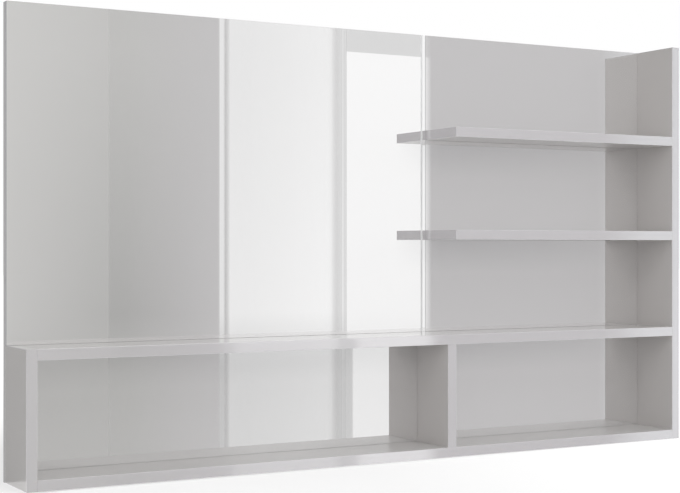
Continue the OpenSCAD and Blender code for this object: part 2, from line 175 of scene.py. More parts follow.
def blend(material, factor, first, second):
    """Two colours that follow a pattern. Each is a colour or another node's output."""
    mix = add(material, "Mix", data_type="RGBA")
    for socket, colour in zip((mix.inputs[6], mix.inputs[7]), (first, second)):
        if isinstance(colour, bpy.types.NodeSocket):
            join(material, colour, socket)
        else:
            socket.default_value = colour
    join(material, factor, mix.inputs[0])
    return mix.outputs[2]


def relief(material, shader, height, depth):
    """Bumps of a given depth in metres."""
    bump = add(material, "Bump")
    bump.inputs["Distance"].default_value = depth
    join(material, height, bump.inputs["Height"])
    join(material, bump.outputs["Normal"], shader.inputs["Normal"])


print("what a pattern can drive:", [use.__name__ for use in (between, blend, relief)])

# %% [markdown]
# Paint, plastic, glass edges and cast metal are alike in one thing: their colour, their gloss and
# their surface each vary a little, each at a size of its own. One helper makes them all, and the
# finishes differ in the numbers. The finishes with more to them are built node by node.

# %% Mottled finishes
def mottled(name, tones, tone_size, roughness, roughness_size, bumps=None, depth=0, **sockets):
    """Two tones, two levels of roughness, and bumps, each spread by clouds of a size of its own.

    Bumps are the settings of their clouds. Sizes and depth are in metres.
    """
    material, shader = finish(name, **sockets)
    tone = blend(material, clouds(material, tone_size), *tones)
    join(material, tone, shader.inputs["Base Color"])
    rough = between(material, clouds(material, roughness_size), *roughness)
    join(material, rough, shader.inputs["Roughness"])
    if bumps:
        relief(material, shader, clouds(material, **bumps), depth)
    return material


print("one helper for plain finishes:", mottled.__name__)

# %% [markdown]
# ## The floor
#
# The floor lies under the object. More lamps could make it white, but they would bleach the object
# too. So rays of the camera see it nearly white, through a glow that is mixed in for these rays
# only. Near the object, and most of all round a point under its left half, less of it is mixed in,
# so the floor is darker there: a painted shadow, on top of the real soft shadow that it keeps.
# Light that falls on things still sees a plain pale floor.

# %% Floor
FLOOR_HALF = 15.0
FLOOR_BELOW = 0.5 * MM


def plane(name, corners):
    """A plane that belongs to the studio, not to the object."""
    mesh = bpy.data.meshes.new(name)
    mesh.from_pydata(corners, [], [(0, 1, 2, 3)])
    thing = bpy.data.objects.new(name, mesh)
    bpy.context.scene.collection.objects.link(thing)
    return thing


floor_z = cad_low[2] - FLOOR_BELOW
floor = plane("floor", [
    (-FLOOR_HALF, -FLOOR_HALF, floor_z), (FLOOR_HALF, -FLOOR_HALF, floor_z),
    (FLOOR_HALF, FLOOR_HALF, floor_z), (-FLOOR_HALF, FLOOR_HALF, floor_z),
])
floor.visible_glossy = False
print("floor at z =", round(floor_z, 4))

# %% Finish of the floor
FLOOR_GREY = (0.72, 0.72, 0.72, 1)
FLOOR_ROUGHNESS = 0.9
FLOOR_GLOW = 1.29
GLOW_SHARE_NEAR = 0.49
SHADOW_MIDDLE = (-0.6, -0.2)
NEAR = 0.5
FAR = 2.0

floor_pale, floor_shader = finish(
    "pale floor", Base_Color=FLOOR_GREY, Roughness=FLOOR_ROUGHNESS,
)
glow = add(floor_pale, "Emission")
glow.inputs["Strength"].default_value = FLOOR_GLOW
# Less glow round a point under the left half makes the floor darker there: a painted shadow.
from_middle = add(floor_pale, "Mapping")
from_middle.inputs["Location"].default_value = (-SHADOW_MIDDLE[0], -SHADOW_MIDDLE[1], -floor_z)
join(floor_pale, places_on(floor_pale), from_middle.inputs["Vector"])
reach = add(floor_pale, "VectorMath", operation="LENGTH")
join(floor_pale, from_middle.outputs["Vector"], reach.inputs[0])
glow_share = add(floor_pale, "Math", operation="MULTIPLY")
share_of_glow = between(floor_pale, reach.outputs["Value"], GLOW_SHARE_NEAR, 1, NEAR, FAR)
seen_by_camera = add(floor_pale, "LightPath").outputs["Is Camera Ray"]
join(floor_pale, seen_by_camera, glow_share.inputs[0])
join(floor_pale, share_of_glow, glow_share.inputs[1])
floor_mix = add(floor_pale, "MixShader")
join(floor_pale, glow_share.outputs[0], floor_mix.inputs["Fac"])
join(floor_pale, floor_shader.outputs[0], floor_mix.inputs[1])
join(floor_pale, glow.outputs[0], floor_mix.inputs[2])
floor_end = floor_pale.node_tree.nodes["Material Output"]
join(floor_pale, floor_mix.outputs[0], floor_end.inputs["Surface"])
floor.data.materials.append(floor_pale)
print("share of glow from", GLOW_SHARE_NEAR, "near the object to 1 at", FAR, "m")

# %% [markdown]
# ## World and lamps
#
# The world has two levels. What the camera, gloss and glass see is white, and what falls on
# things as light is a plain lower level. Three large soft lamps do the rest: a key from the
# right, a fill from the left that opens the inner faces of the panels, and one from above for
# the tops of the boards. Their powers were chosen one by one, because light simply adds up.

# %% World
WORLD_LEVEL = 0.38
WHITE_LEVEL = 1.0

world = bpy.data.worlds.new("studio")
world.use_nodes = True
bpy.context.scene.world = world
sky = world.node_tree
sky.nodes.clear()
light_on_things = sky.nodes.new("ShaderNodeBackground")
light_on_things.inputs["Strength"].default_value = WORLD_LEVEL
white_behind = sky.nodes.new("ShaderNodeBackground")
white_behind.inputs["Strength"].default_value = WHITE_LEVEL
for background in (light_on_things, white_behind):
    background.inputs["Color"].default_value = (1, 1, 1, 1)
path = sky.nodes.new("ShaderNodeLightPath")
seen = path.outputs["Is Camera Ray"]
for kind in ("Is Glossy Ray", "Is Transmission Ray"):
    either = sky.nodes.new("ShaderNodeMath")
    either.operation = "MAXIMUM"
    sky.links.new(seen, either.inputs[0])
    sky.links.new(path.outputs[kind], either.inputs[1])
    seen = either.outputs[0]
which = sky.nodes.new("ShaderNodeMixShader")
sky.links.new(seen, which.inputs["Fac"])
sky.links.new(light_on_things.outputs[0], which.inputs[1])
sky.links.new(white_behind.outputs[0], which.inputs[2])
sky.links.new(which.outputs[0], sky.nodes.new("ShaderNodeOutputWorld").inputs["Surface"])
print("world level on things:", WORLD_LEVEL)

# %% Lamps
def soft_lamp(name, place, aim, size, power, tint):
    """A round area lamp that looks at a point. Reflections don't show it."""
    data = bpy.data.lights.new(name, "AREA")
    data.shape = "DISK"
    data.size = size
    data.energy = power
    data.color = tint
    lamp = bpy.data.objects.new(name, data)
    lamp.location = place
    lamp.rotation_euler = (Vector(aim) - Vector(place)).to_track_quat("-Z", "Y").to_euler()
    lamp.visible_glossy = False
    bpy.context.scene.collection.objects.link(lamp)
    print("lamp:", name, power, "W")


COOL = (0.97, 0.985, 1.0)
WARM = (1.0, 0.985, 0.975)
PLAIN = (1.0, 1.0, 1.0)
soft_lamp("key", place=(3.6, -1.6, 0.8), aim=(0.3, 0, 0), size=2.0, power=42, tint=COOL)
soft_lamp("fill", place=(-2.8, -1.9, 0.4), aim=(0.2, 0, 0), size=2.6, power=32.5, tint=WARM)
soft_lamp("top", place=(0.2, -2.4, 2.9), aim=(0.1, 0, 0), size=2.0, power=64, tint=PLAIN)

# %% [markdown]
# ## Cards for the mirrors
#
# A mirror shows what stands before it, so it needs something to show. Photographers put up grey
# cards and soft boxes, and here they stand twenty metres in front of the unit, so large and so far
# that their edges line up in the panes and on the front edges. Only reflections see them: they
# are in no picture, and throw no light or shadow on the object. Each card is a plane whose glow
# fades at its sides and drifts a little with height.
#
# The other way is to light the whole scene with a panorama. Cards keep the scene plain, and their
# edges can be put exactly where the mirror should turn from dark to bright.

# %% Tones of a card
HIGH_AT = 3.1
MIDDLE_AT = -1.1
LOW_AT = -2.0
CARD_FOOT = -11.0


def glow_by_height(material, levels, tint):
    """A glow with one level high up, one at the middle and one low down."""
    axes = add(material, "SeparateXYZ")
    join(material, places_on(material), axes.inputs["Vector"])
    high, middle, low = levels
    upper = between(material, axes.outputs["Z"], 0, high - middle, MIDDLE_AT, HIGH_AT)
    lower = between(material, axes.outputs["Z"], low, middle, LOW_AT, MIDDLE_AT)
    level = add(material, "Math", operation="ADD")
    join(material, upper, level.inputs[0])
    join(material, lower, level.inputs[1])
    glow = add(material, "Emission")
    glow.inputs["Color"].default_value = (*tint, 1)
    join(material, level.outputs[0], glow.inputs["Strength"])
    return axes, glow


print("card levels are given at heights", LOW_AT, MIDDLE_AT, HIGH_AT)

# %% A card
def for_reflections_only(thing):
    """Hides a card from the camera, from the light on things and from shadows."""
    for sight in ("camera", "diffuse", "shadow", "volume_scatter"):
        setattr(thing, "visible_" + sight, False)


def card(name, x_from, x_to, soft_left, soft_right, top, levels, tint, y):
    """An upright glowing plane from x to x, which fades out over the soft widths."""
    thing = plane(name, [
        (x_from, y, CARD_FOOT), (x_to, y, CARD_FOOT), (x_to, y, top), (x_from, y, top),
    ])
    for_reflections_only(thing)
    material = bpy.data.materials.new(name)
    material.use_nodes = True
    material.node_tree.nodes.clear()
    axes, glow = glow_by_height(material, levels, tint)
    fade = add(material, "Math", operation="MULTIPLY")
    for socket, values in ((0, (0, 1, x_from, x_from + soft_left)),
                           (1, (1, 0, x_to - soft_right, x_to))):
        join(material, between(material, axes.outputs["X"], *values), fade.inputs[socket])
    mix = add(material, "MixShader")
    join(material, fade.outputs[0], mix.inputs["Fac"])
    join(material, add(material, "BsdfTransparent").outputs[0], mix.inputs[1])
    join(material, glow.outputs[0], mix.inputs[2])
    join(material, mix.outputs[0], add(material, "OutputMaterial").inputs["Surface"])
    thing.data.materials.append(material)


print("a card reaches down to z =", CARD_FOOT)

# %% Put up the cards
GREY = (1.0, 0.979, 0.99)
STONE = (1.0, 0.991, 0.97)
WHITE = PLAIN
COOL_WHITE = (0.975, 0.988, 1.0)
CARDS_Y = -20.0
CARD_STEP = 0.002
TALL = 14.5
# name: from x, to x, fade at the left, fade at the right, top, levels high, middle, low, tint
CARDS = {
    "grey_backdrop": (-3.31, 29.39, 0.07, 0.07, TALL, (0.52, 0.51, 0.53), GREY),
    "dim_left": (-23.30, -3.13, 0.07, 0.18, TALL, (0.39, 0.39, 0.39), GREY),
    "pale_left": (3.59, 7.15, 0.07, 0.04, TALL, (0.52, 0.42, 0.46), STONE),
    "pale_far_left": (3.59, 6.86, 0.07, 2.54, TALL, (0.62, 0.60, 0.51), STONE),
    "shade": (7.00, 9.11, 0.04, 1.82, TALL, (0.49, 0.36, 0.45), STONE),
    "bright_strip": (8.92, 9.05, 0.03, 0.04, TALL, (0.80, 0.78, 0.56), WHITE),
    "first_gap": (9.03, 9.11, 0.04, 0.03, TALL, (0.55, 0.52, 0.48), WHITE),
    "soft_box": (9.06, 11.20, 0.07, 0.18, TALL, (0.81, 0.86, 0.68), WHITE),
    "soft_box_core": (9.41, 11.15, 1.45, 0.18, TALL, (0.88, 0.94, 0.75), WHITE),
    "second_gap": (11.04, 11.37, 0.15, 0.04, TALL, (0.68, 0.70, 0.57), WHITE),
    "thin_light": (11.24, 11.30, 0.02, 0.02, TALL, (0.74, 0.84, 0.60), WHITE),
    "over_tall_box": (11.33, 13.08, 0.02, 0.23, TALL, (0.69, 0.69, 0.69), WHITE),
    "tall_box": (11.33, 13.08, 0.02, 0.23, 3.36, (0.98, 0.95, 0.89), WHITE),
    "low_gap": (11.31, 11.48, 0.02, 0.04, -1.60, (0.62, 0.62, 0.62), WHITE),
    "right_box": (16.88, 19.11, 1.0, 0.07, TALL, (0.68, 0.77, 0.80), COOL_WHITE),
    "far_right_box": (19.03, 26.48, 0.07, 0.07, TALL, (0.97, 0.97, 0.94), WHITE),
}

for number, (name, values) in enumerate(CARDS.items()):
    card(name, *values, y=CARDS_Y + CARD_STEP * number)
print("cards:", len(CARDS))

# %% [markdown]
# The wall behind the unit shows only in the gloss of the side faces, as a quiet grey. It could be
# left out, but then these faces would mirror a white nothing and look much paler than the same
# lacquer on the front.

# %% Wall card
WALL_GLOW = 0.40
WALL_BEHIND = 2 * MM
WALL_TOP = 4.0

wall = plane("wall_card", [
    (-FLOOR_HALF, WALL_BEHIND, floor_z), (FLOOR_HALF, WALL_BEHIND, floor_z),
    (FLOOR_HALF, WALL_BEHIND, WALL_TOP), (-FLOOR_HALF, WALL_BEHIND, WALL_TOP),
])
for_reflections_only(wall)
wall.visible_transmission = False
wall_grey = bpy.data.materials.new("wall grey")
wall_grey.use_nodes = True
wall_grey.node_tree.nodes.clear()
wall_glow = add(wall_grey, "Emission")
wall_glow.inputs["Strength"].default_value = WALL_GLOW
join(wall_grey, wall_glow.outputs[0], add(wall_grey, "OutputMaterial").inputs["Surface"])
wall.data.materials.append(wall_grey)
print("wall card", WALL_BEHIND / MM, "mm behind the rear face")

# %% [markdown]
# ## High-gloss lacquer
#
# The boards are engineered board under a sprayed and polished lacquer, a light warm grey. From
# afar, one even colour with a clear coat would do. Up close such a film isn't quite flat. It has a
# faint orange-peel relief, its colour drifts a little over a large board, and wiping leaves
# patches that are slightly less glossy, so each of these three gets a pattern.
#
# The rear face of the back board isn't lacquered. It has a matt foil, so the finish changes
# where the depth coordinate reaches the rear. Fine dust settles on the bottom board, deep in the
# compartments, and the faces of the two shelves are satin rather than high gloss. Both mirror
# less at a low angle than the other boards, so they have the same lacquer with other values. The
# bottom board's tone is also a little darker than the others', as painted shade in the
# compartments.

# %% Lacquer
FOIL_FROM = -0.5 * MM
FOIL_TO = -0.3 * MM
FOIL_TONES = (paint(186, 184, 182), paint(214, 212, 210))
FOIL_ROUGHNESS = 0.6
DRIFT_SIZE = 450 * MM
FLECK_SIZE = 1.2 * MM
PATCH_SIZE = 60 * MM
PEEL_SIZE = 4 * MM
PEEL_DEPTH = 0.003 * MM


def lacquer_finish(name, smooth, wiped, tones, **gloss):
    """Lacquer whose roughness runs from smooth to wiped, with matt foil at the very rear."""
    material, shader = finish(name, **gloss)
    drift = blend(material, clouds(material, DRIFT_SIZE, detail=2.0), *tones)
    foil = blend(material, clouds(material, FLECK_SIZE, detail=1.0), *FOIL_TONES)
    axes = add(material, "SeparateXYZ")
    join(material, places_on(material), axes.inputs["Vector"])
    on_foil = between(material, axes.outputs["Y"], 0, 1, FOIL_FROM, FOIL_TO)
    join(material, blend(material, on_foil, drift, foil), shader.inputs["Base Color"])
    patches = clouds(material, PATCH_SIZE, detail=4.0, stretch=(0.4, 1, 1))
    rougher = add(material, "Math", operation="MAXIMUM")
    join(material, between(material, patches, smooth, wiped), rougher.inputs[0])
    join(material, between(material, on_foil, 0, FOIL_ROUGHNESS, 0, 1), rougher.inputs[1])
    join(material, rougher.outputs[0], shader.inputs["Roughness"])
    relief(material, shader, clouds(material, PEEL_SIZE, detail=1.0), PEEL_DEPTH)
    return material


lacquer = lacquer_finish(
    "grey gloss lacquer", smooth=0.14, wiped=0.24,
    tones=(paint(197, 194, 192), paint(202, 199, 198)),
    Coat_Weight=0.6, Coat_Roughness=0.04, Specular_IOR_Level=0.35,
)
# The darker tones here are painted shade for the compartments; the dust makes it rougher and less
# glossy.
dusty_shaded_lacquer = lacquer_finish(
    "grey lacquer under fine dust and painted shade", smooth=0.25, wiped=0.27,
    tones=(paint(190, 188, 187), paint(195, 193, 192)),
    Specular_IOR_Level=0.15,
)
satin_lacquer = lacquer_finish(
    "grey satin lacquer", smooth=0.28, wiped=0.30,
    tones=(paint(195, 192, 190), paint(200, 197, 196)),
    Coat_Weight=0.35, Coat_Roughness=0.1, Specular_IOR_Level=0.35,
)
print("lacquers:", [made.name for made in (lacquer, dusty_shaded_lacquer, satin_lacquer)])

# %% Lacquer on the boards
FINISH_OF_BOARD = {
    "back_board": lacquer, "middle_board": lacquer, "left_side_panel": lacquer,
    "divider": lacquer, "right_side_panel": lacquer, "lower_shelf": satin_lacquer,
    "upper_shelf": satin_lacquer, "bottom_board": dusty_shaded_lacquer,
}


def dress(node_name, material):
    """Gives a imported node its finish. Its shape stays as it is."""
    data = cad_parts[node_name].data
    data.materials.clear()
    data.materials.append(material)


for name, material in FINISH_OF_BOARD.items():
    dress(name, material)
print("lacquered boards:", len(FINISH_OF_BOARD))

# %% [markdown]
# ## Edge strips
#
# The visible edges carry strips of gloss plastic in the board's colour. Under a clear face layer
# they have a slightly metallised one, so they mirror the studio more strongly than the lacquer,
# and the bright and dark cards run on over them. Extrusion leaves very faint lines along each
# strip. One material for all would draw these lines along one axis, so there are three, one for
# each way that a strip can run.

# %% Strip finishes
DRAWN_OUT = 0.02
STRIPS = [
    mottled(
        "edge strip along " + "xyz"[long_axis],
        tones=(paint(228, 226, 228), paint(232, 230, 232)), tone_size=250 * MM,
        roughness=(0.03, 0.05), roughness_size=20 * MM,
        bumps={"size": 3 * MM, "detail": 1.0,
               "stretch": [DRAWN_OUT if axis == long_axis else 1 for axis in range(3)]},
        depth=0.001 * MM,
        Metallic=0.6, Coat_Weight=1.0, Coat_Roughness=0.03, Coat_IOR=1.8,
    )
    for long_axis in range(3)
]

for name in sorted(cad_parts):
    if name.endswith("_edging"):
        low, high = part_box(name)
        spans = [high[axis] - low[axis] for axis in range(3)]
        long_axis = spans.index(max(spans))
        dress(name, STRIPS[long_axis])
        print(name, "runs along", "xyz"[long_axis])

# %% [markdown]
# ## Mirror panes
#
# A pane is float glass with silver and paint on its back. Its arrises are ground and polished,
# and the large pane has a wider bevel along its right edge, which starts at a thin matt line. A
# pane could be a box with a bevel modifier, but each of these faces has a finish of its own, so a
# pane is a block that is cut by planes, and every cut leaves a face to finish.
#
# A bathroom mirror is never quite clean. A thin even haze lies over the glass, so the silver isn't
# fully metallic. Right under the boards the silver's colour is mixed towards a darker grey, which
# is painted shade and makes the image a little dimmer there. It thins out downwards over a few
# centimetres, and more slowly towards the right.

# %% Haze on the glass and painted shade under the boards
HAZE = 0.12
SHADE_REACH = 56 * MM
SHADE_STARTS_OVER = (-60 * MM, 30 * MM)
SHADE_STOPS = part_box("right_side_panel")[0][0] - 75 * MM
SHADE_STOPS_OVER = (-5 * MM, 10 * MM)
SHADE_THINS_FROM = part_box("divider")[1][0] + 80 * MM
SHADE_THINS_TO = 0.5
# board: strength of the painted shade under it, from which x on, and the height left unshaded
PAINTED_SHADE_UNDER = {
    "upper_shelf": (0.9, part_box("upper_shelf")[0][0], 7 * MM),
    "lower_shelf": (1.0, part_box("lower_shelf")[0][0], 0),
    "middle_board": (0.6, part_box("middle_board")[0][0], 0),
    "middle_board right of the divider": (1.0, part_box("divider")[1][0], 0),
}


# A strip of painted shade under one board: there the silver is mixed towards a darker grey.
def painted_shade_under(material, board, strength, x_from, unshaded_height):
    """From zero to the strength, in a strip that ends at or just below the board's underside."""
    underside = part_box(board)[0][2] - unshaded_height
    starts = [x_from + shift for shift in SHADE_STARTS_OVER]
    stops = [SHADE_STOPS + shift for shift in SHADE_STOPS_OVER]
    axes = add(material, "SeparateXYZ")
    join(material, places_on(material), axes.inputs["Vector"])
    across, up = axes.outputs["X"], axes.outputs["Z"]
    painted_shade = between(material, up, 0, strength, underside - SHADE_REACH, underside)
    gates = (
        between(material, up, 1, 0, underside, underside + MM),
        between(material, across, 0, 1, *starts),
        between(material, across, 1, 0, *stops),
        between(material, across, 1, SHADE_THINS_TO, SHADE_THINS_FROM, SHADE_STOPS),
    )
    for gate in gates:
        product = add(material, "Math", operation="MULTIPLY")
        join(material, painted_shade, product.inputs[0])
        join(material, gate, product.inputs[1])
        painted_shade = product.outputs[0]
    return painted_shade


def most_of(material, values):
    """The largest of several outputs, point by point."""
    most = values[0]
    for value in values[1:]:
        larger = add(material, "Math", operation="MAXIMUM")
        join(material, most, larger.inputs[0])
        join(material, value, larger.inputs[1])
        most = larger.outputs[0]
    return most


print("film reaches", round(SHADE_REACH / MM), "mm down from", len(PAINTED_SHADE_UNDER), "undersides")

# %% Silver
UNSHADED_SILVER = ((0.945, 0.942, 0.943, 1), (0.955, 0.952, 0.953, 1))
PAINTED_SHADE_COLOUR = (0.8, 0.802, 0.806, 1)
WAVE_SIZE = 120 * MM
WAVE_ROUGHNESS = 0.008

silver, silver_shader = finish("silvered glass", Metallic=1 - HAZE)
unshaded = blend(silver, clouds(silver, 500 * MM), *UNSHADED_SILVER)
painted_shades = [
    painted_shade_under(silver, name.split(" ")[0], *values)
    for name, values in PAINTED_SHADE_UNDER.items()
]
# Under the boards the silver is mixed towards the darker grey: painted shade.
tint = blend(silver, most_of(silver, painted_shades), unshaded, PAINTED_SHADE_COLOUR)
join(silver, tint, silver_shader.inputs["Base Color"])
waves = clouds(silver, WAVE_SIZE, detail=5.0, stretch=(1, 1, 0.4))
faint = between(silver, waves, 0, WAVE_ROUGHNESS)
join(silver, faint, silver_shader.inputs["Roughness"])
print("film under:", list(PAINTED_SHADE_UNDER))

# %% Edges and backs of the panes
polished = mottled(
    "polished glass edge",
    tones=(paint(217, 218, 218), paint(228, 229, 229)), tone_size=20 * MM,
    roughness=(0.06, 0.16), roughness_size=4 * MM,
    Metallic=0.85,
)
ground = mottled(
    "ground glass",
    tones=(paint(207, 208, 208), paint(221, 222, 222)), tone_size=10 * MM,
    roughness=(0.3, 0.5), roughness_size=2 * MM,
    bumps={"size": 0.8 * MM}, depth=0.02 * MM,
)
backing = mottled(
    "mirror backing paint",
    tones=(paint(96, 104, 110), paint(110, 118, 124)), tone_size=50 * MM,
    roughness=(0.55, 0.75), roughness_size=3 * MM,
    bumps={"size": 6 * MM}, depth=0.02 * MM,
)
PANE_FINISHES = [silver, polished, ground, backing]
print("pane finishes:", [material.name for material in PANE_FINISHES])

# %% Cut a block into a pane
ARRIS = 0.2 * MM
BEVEL_WIDTH = 7 * MM
BEVEL_DROP = 0.72 * MM
CREASE_BEFORE = 2.5 * MM
CREASE_AFTER = 1.0 * MM
TOWARDS = 0.9


def cut(mesh, point, outward, take_off=True):
    """Cuts along a plane. What lies outside goes, and the cut is closed with a new face."""
    made = bmesh.ops.bisect_plane(
        mesh, geom=mesh.verts[:] + mesh.edges[:] + mesh.faces[:],
        plane_co=point, plane_no=outward, clear_outer=take_off,
    )
    if take_off:
        rim = [part for part in made["geom_cut"] if isinstance(part, bmesh.types.BMEdge)]
        bmesh.ops.edgeloop_fill(mesh, edges=rim)


def face_finish(face, crease_from, crease_to):
    """Which of the pane's finishes a face takes, from where it looks."""
    if face.normal.y > TOWARDS:
        return PANE_FINISHES.index(backing)
    if face.normal.y < -TOWARDS:
        in_crease = crease_from < face.calc_center_median().x < crease_to
        return PANE_FINISHES.index(ground if in_crease else silver)
    return PANE_FINISHES.index(polished)


print("bevel", round(BEVEL_WIDTH / MM), "mm wide,", round(BEVEL_DROP / MM, 2), "mm deep")

# %% Arrises and bevel
def cut_arrises(mesh, low, high, sides):
    """Takes the front arris off each side, which is an axis and a direction along it."""
    for axis, sign in sides:
        outward = Vector((0, -1, 0))
        outward[axis] = sign
        point = Vector((0, low.y, 0))
        point[axis] = (high if sign > 0 else low)[axis] - sign * ARRIS
        cut(mesh, point, outward.normalized())


def cut_bevel(mesh, low, high):
    """Cuts the bevel and the two borders of its matt line, and gives the places of the borders."""
    starts = high.x - BEVEL_WIDTH
    slope = Vector((BEVEL_DROP, -BEVEL_WIDTH, 0)).normalized()
    cut(mesh, Vector((starts, low.y, 0)), slope)
    borders = (starts - CREASE_BEFORE, starts + CREASE_AFTER)
    for x in borders:
        cut(mesh, Vector((x, low.y, 0)), Vector((1, 0, 0)), take_off=False)
    return borders


print("arris", round(ARRIS / MM, 2), "mm, matt line", (CREASE_BEFORE + CREASE_AFTER) / MM, "mm")

# %% Panes
SIDES = [(0, -1), (0, 1), (2, -1), (2, 1)]
RIGHT_SIDE = (0, 1)


def build_pane(node_name):
    """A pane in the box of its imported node."""
    low, high = (Vector(corner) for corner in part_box(node_name))
    bevelled = node_name == "main_mirror"
    mesh = bmesh.new()
    bmesh.ops.create_cube(mesh, size=1.0)
    for vertex in mesh.verts:
        vertex.co = [low[i] if vertex.co[i] < 0 else high[i] for i in range(3)]
    cut_arrises(mesh, low, high, [s for s in SIDES if not (bevelled and s == RIGHT_SIDE)])
    borders = cut_bevel(mesh, low, high) if bevelled else (high.x, high.x)
    bmesh.ops.recalc_face_normals(mesh, faces=mesh.faces)
    for face in mesh.faces:
        face.material_index = face_finish(face, *borders)
    data = bpy.data.meshes.new(node_name + "_pane")
    mesh.to_mesh(data)
    mesh.free()
    for material in PANE_FINISHES:
        data.materials.append(material)
    piece = bpy.data.objects.new(node_name + "_pane", data)
    bpy.context.scene.collection.objects.link(piece)
    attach(piece, "root")
    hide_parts(node_name)
    return piece


for name in sorted(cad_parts):
    if name.endswith("_mirror"):
        pane = build_pane(name)
        print(pane.name, [round(v / MM) for v in pane.dimensions], "mm")

# %% [markdown]
# ## Foam tape and plates
#
# Strips of closed-cell foam tape hold the panes. The hanger plates are zinc-plated steel, which
# shows as a fine spangle in colour and roughness, and the cast cams are duller. They could be
# built anew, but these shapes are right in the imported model, so they only get their finishes.

# %% Tape
CELL_SIZE = 0.9 * MM
CELL_DEPTH = 0.12 * MM


def cells(material, size):
    """A pattern of round cells, as in foam."""
    texture = add(material, "TexVoronoi")
    texture.inputs["Scale"].default_value = 1.0
    join(material, scaled_places(material, size), texture.inputs["Vector"])
    return texture.outputs["Distance"]


tape, tape_shader = finish("foam tape", Roughness=0.85)
tape_cells = cells(tape, CELL_SIZE)
tint = blend(tape, tape_cells, paint(224, 224, 219), paint(188, 188, 183))
join(tape, tint, tape_shader.inputs["Base Color"])
relief(tape, tape_shader, tape_cells, CELL_DEPTH)
dress("mirror_tape", tape)
print("foam cells:", round(CELL_SIZE / MM, 1), "mm")

# %% Plates, cams and caps
def metal_finish(name, tones, roughness, grain):
    """Bare metal with a spangle of this size in metres."""
    return mottled(
        name, tones=tones, tone_size=grain, roughness=roughness, roughness_size=grain / 2,
        bumps={"size": grain / 4}, depth=0.004 * MM, Metallic=1.0,
    )


zinc_plate = metal_finish(
    "zinc-plated steel", (paint(176, 179, 183), paint(206, 209, 212)), (0.2, 0.38), grain=4 * MM,
)
cast_zinc = metal_finish(
    "cast zinc", (paint(150, 151, 153), paint(172, 173, 175)), (0.38, 0.55), grain=2 * MM,
)
cap_plastic = mottled(
    "cap plastic",
    tones=(paint(182, 180, 179), paint(192, 190, 189)), tone_size=0.7 * MM,
    roughness=(0.32, 0.46), roughness_size=2 * MM,
    bumps={"size": 0.5 * MM}, depth=0.01 * MM,
)
FITTINGS = {
    "cam_caps": cap_plastic, "hanger_plates": zinc_plate,
    "cam_bolts": zinc_plate, "cam_housings": cast_zinc,
}
for name, material in FITTINGS.items():
    dress(name, material)
print("finished fittings:", list(FITTINGS))

# %% [markdown]
# ## Fittings by Geometry Nodes
#
# Screws and dowels repeat. Each kind is one node tree that builds the piece from a few named
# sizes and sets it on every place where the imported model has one. The places are read from
# the model: a node's mesh falls apart into separate bodies, and each gives a place and a length.
#
# A tree takes bare points with an attribute that says which way each piece points. It ends in
# Realize Instances and Set Material, and the result is turned into a plain mesh.

# %% Places of the fittings
WELD = 0.01 * MM


def loose_parts(node_name):
    """Low and high corners of each separate body in a node."""
    mesh = bmesh.new()
    mesh.from_mesh(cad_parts[node_name].data)
    bmesh.ops.remove_doubles(mesh, verts=mesh.verts, dist=WELD)
    waiting = set(mesh.verts)
    parts = []
    while waiting:
        reached = {waiting.pop()}
        newest = set(reached)
        while newest:
            newest = {edge.other_vert(v) for v in newest for edge in v.link_edges} - reached
            reached |= newest
        waiting -= reached
        low = Vector([min(v.co[axis] for v in reached) for axis in range(3)])
        high = Vector([max(v.co[axis] for v in reached) for axis in range(3)])
        parts.append((low, high))
    mesh.free()
    return sorted(parts, key=lambda part: [round(value, 4) for value in part[0]])


for name in ("back_screws", "hanger_screws", "dowels", "cam_caps"):
    found = loose_parts(name)
    spans = [round(v / MM, 1) for v in found[0][1] - found[0][0]]
    print(name, len(found), "bodies, the first spans", spans, "mm")

# %% New trees and their nodes
def new_tree(name, sizes):
    """A tree with a geometry input and named sizes in metres."""
    tree = bpy.data.node_groups.new(name, "GeometryNodeTree")
    tree.interface.new_socket("Geometry", in_out="OUTPUT", socket_type="NodeSocketGeometry")
    tree.interface.new_socket("Geometry", in_out="INPUT", socket_type="NodeSocketGeometry")
    for size, value in sizes.items():
        socket = tree.interface.new_socket(size, in_out="INPUT", socket_type="NodeSocketFloat")
        socket.default_value = value
    return tree, tree.nodes.new("NodeGroupInput").outputs


def put(tree, kind, inputs=None, **settings):
    """Adds a node. Inputs are values or other nodes' outputs, by name or by number."""
    node = tree.nodes.new(kind)
    for setting, value in settings.items():
        setattr(node, setting, value)
    for key, value in (inputs or {}).items():
        if isinstance(value, bpy.types.NodeSocket):
            tree.links.new(value, node.inputs[key])
        else:
            node.inputs[key].default_value = value
    return node


def sums(tree, operation, first, second):
    """What a calculation with two values gives."""
    return put(tree, "ShaderNodeMath", {0: first, 1: second}, operation=operation).outputs[0]


print("tools for trees:", [tool.__name__ for tool in (new_tree, put, sums)])

# %% Shapes in a tree
def cone(tree, sides, top, bottom, height):
    """A cone or a cylinder that stands on its own origin."""
    return put(tree, "GeometryNodeMeshCone", {
        "Vertices": sides, "Radius Top": top, "Radius Bottom": bottom, "Depth": height,
    }).outputs["Mesh"]


def lifted(tree, geometry, height):
    """The geometry, moved up along its own Z."""
    shift = put(tree, "ShaderNodeCombineXYZ", {"Z": height})
    return put(tree, "GeometryNodeTransform",
               {"Geometry": geometry, "Translation": shift.outputs[0]}).outputs[0]


def lowered(tree, geometry, depth):
    return lifted(tree, geometry, sums(tree, "MULTIPLY", depth, -1.0))


def joined(tree, *geometries):
    """Several geometries as one."""
    node = tree.nodes.new("GeometryNodeJoinGeometry")
    for geometry in geometries:
        tree.links.new(geometry, node.inputs[0])
    return node.outputs[0]


